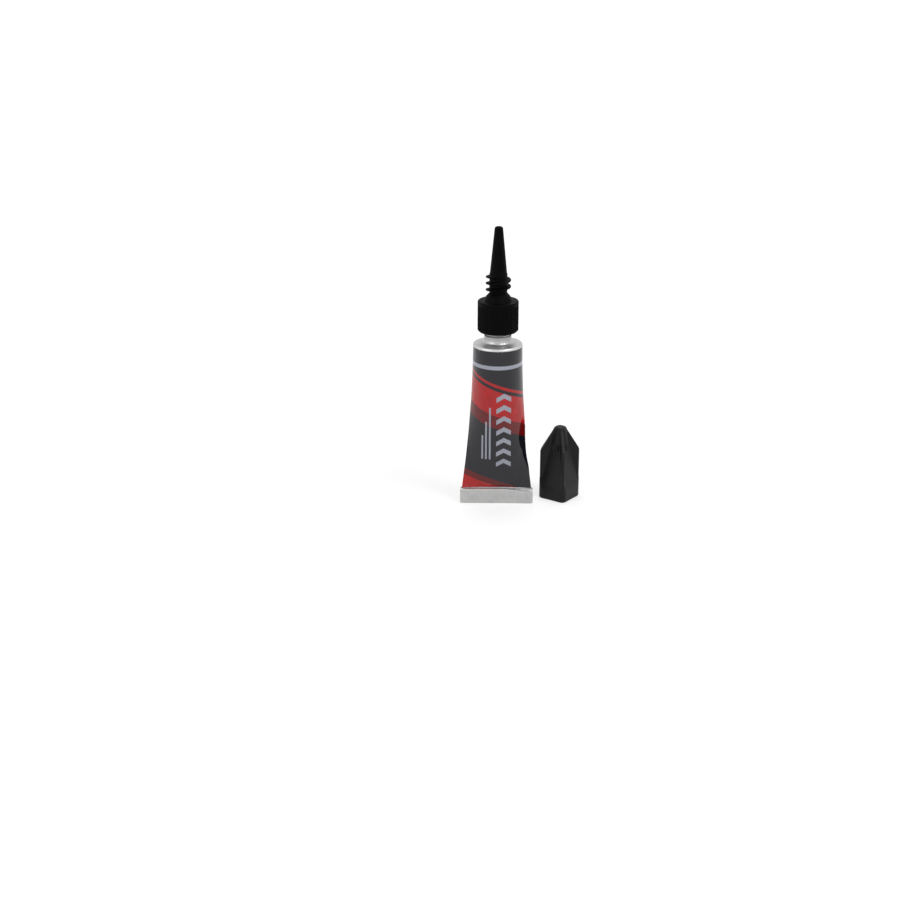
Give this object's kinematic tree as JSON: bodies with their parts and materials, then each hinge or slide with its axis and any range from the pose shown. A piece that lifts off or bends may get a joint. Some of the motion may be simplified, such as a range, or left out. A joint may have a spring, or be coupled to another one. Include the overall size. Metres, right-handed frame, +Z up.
{
  "type": "super glue tube",
  "caption": "Folded aluminium tube of instant adhesive with a ribbed screw-on nozzle, cap thread and cone tip; its finned cap is taken off and stands beside it.",
  "frame": {"origin": "middle of the foot of the tail's fold, on the tube's axis", "axes": "+Z up along the tube's axis to the nozzle's tip, +X along the fold towards the cap, -Y out of the printed front"},
  "size_m": [0.0312, 0.0167, 0.0737],
  "materials": {
    "tube_metal": "bare aluminium at shoulder, neck and fold; dark glossy lacquer with red stripes on the sleeve",
    "membrane_foil": "bright foil",
    "latex": "matt sealing compound",
    "liquid": "clear thin liquid",
    "nozzle_plastic": "satin black polyethylene",
    "cap_plastic": "satin black polyethylene, a little greyer than the nozzle"
  },
  "bodies": {
    "tube": {"tube_shell": "tube_metal", "neck_membrane": "membrane_foil", "end_seal": "latex", "adhesive": "liquid"},
    "nozzle": {"nozzle": "nozzle_plastic"},
    "cap": {"cap": "cap_plastic"}
  },
  "joints": [
    {"name": "nozzle_travel", "type": "slide", "parent": "tube", "child": "nozzle", "axis": [0, 0, 1], "range_m": [-0.0018, 0.02], "deforming": ["neck_membrane"]},
    {"name": "cap_lift", "type": "slide", "parent": "tube", "child": "cap", "axis": [0, 0, 1], "range_m": [0, 0.08]}
  ]
}
